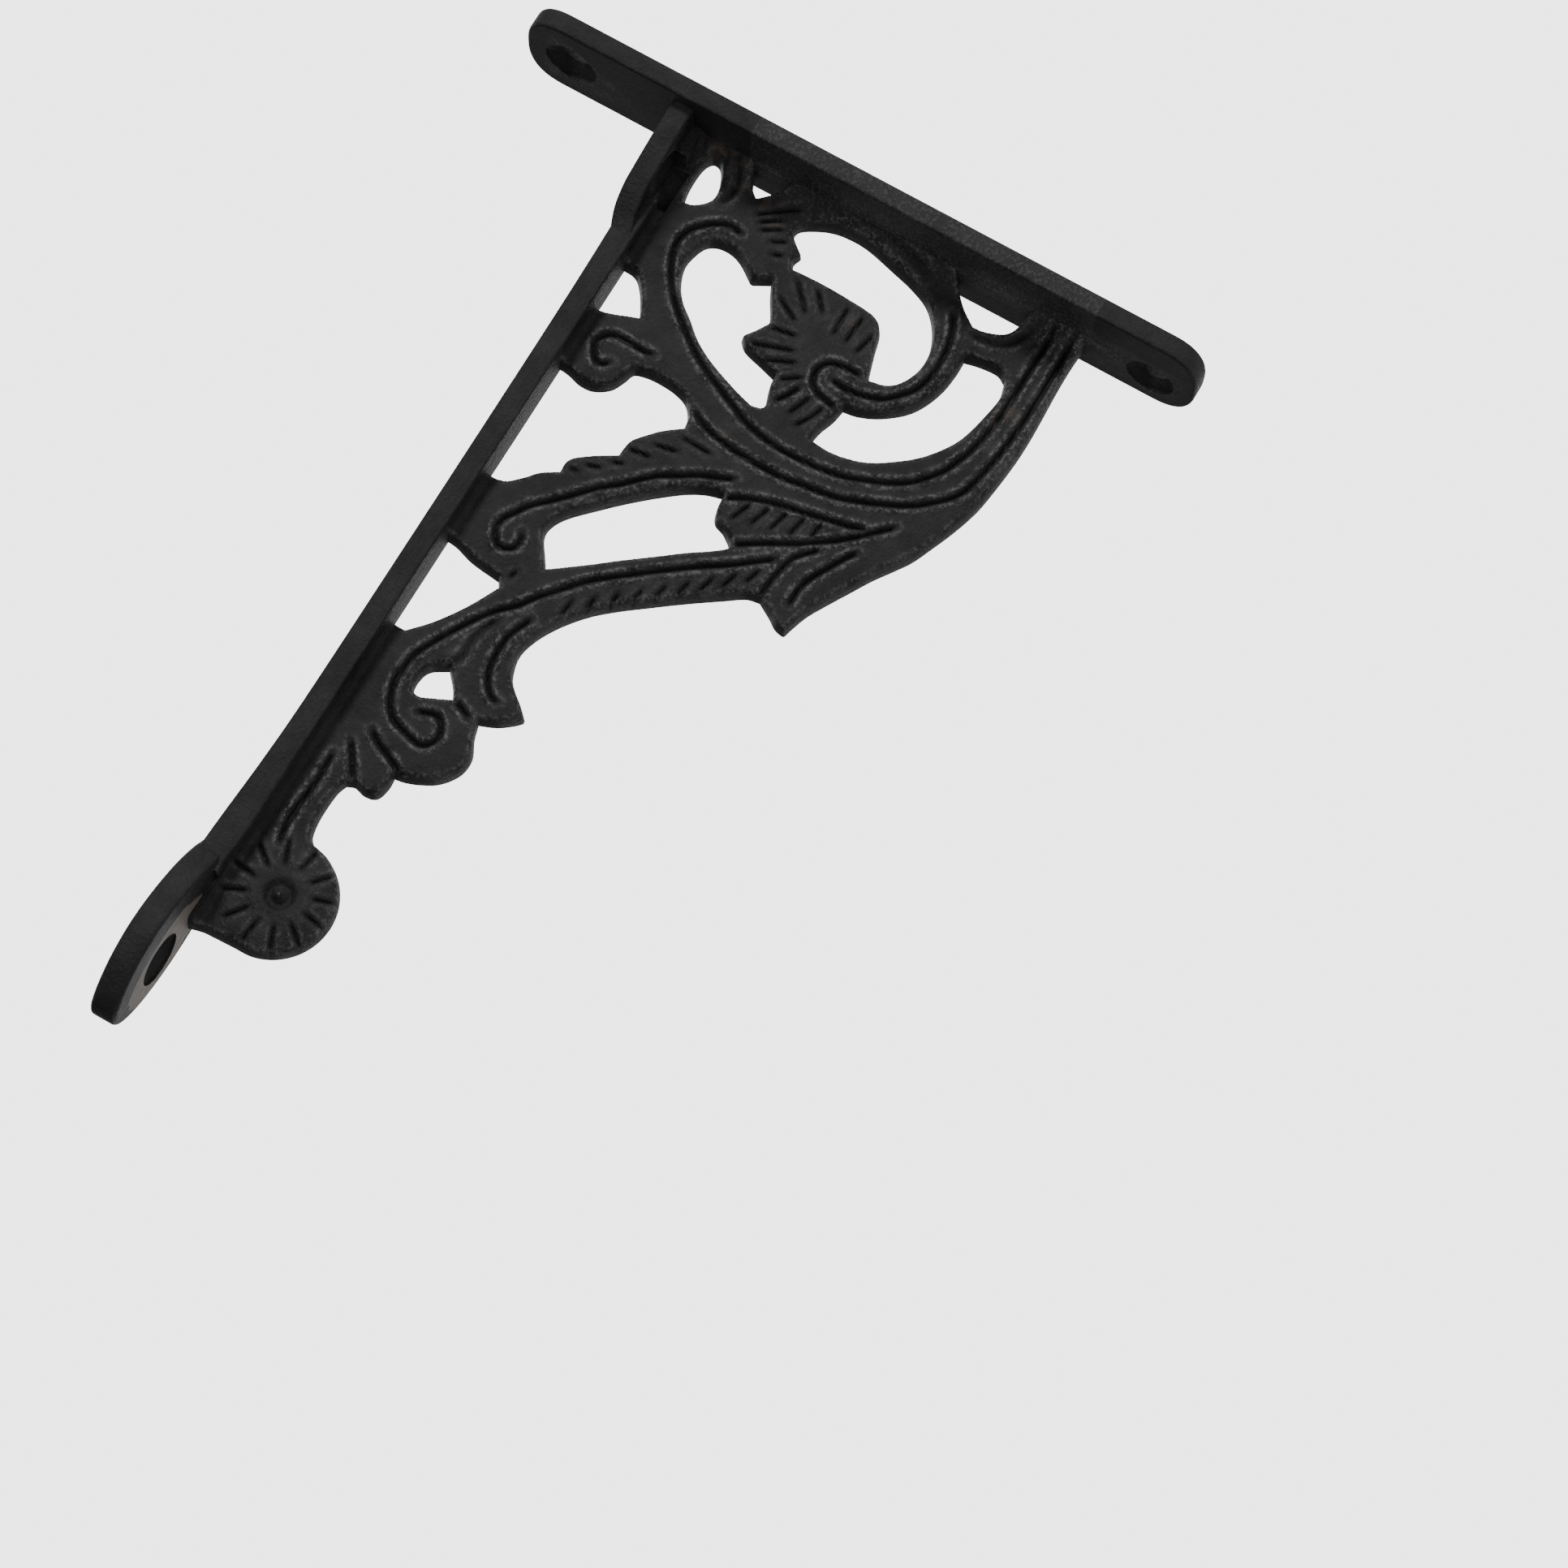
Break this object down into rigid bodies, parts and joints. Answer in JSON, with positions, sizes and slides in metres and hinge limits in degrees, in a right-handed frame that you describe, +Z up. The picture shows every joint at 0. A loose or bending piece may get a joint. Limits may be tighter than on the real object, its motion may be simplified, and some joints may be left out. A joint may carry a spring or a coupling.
{
  "type": "ornate cast iron shelf bracket",
  "caption": "Cast iron shelf bracket with a wall plate, a shelf rail with screw pads, and a pierced web of scrolls and leaves carved on one face.",
  "frame": {"origin": "on the wall face, on the plate's centre line, level with the seat for the shelf", "axes": "+X into the wall, +Z up, carved face towards -Y"},
  "size_m": [0.1984, 0.0207, 0.1375],
  "materials": {
    "casting": "satin black, as cast"
  },
  "bodies": {
    "root": {"shelf_bracket": "casting"}
  },
  "joints": []
}
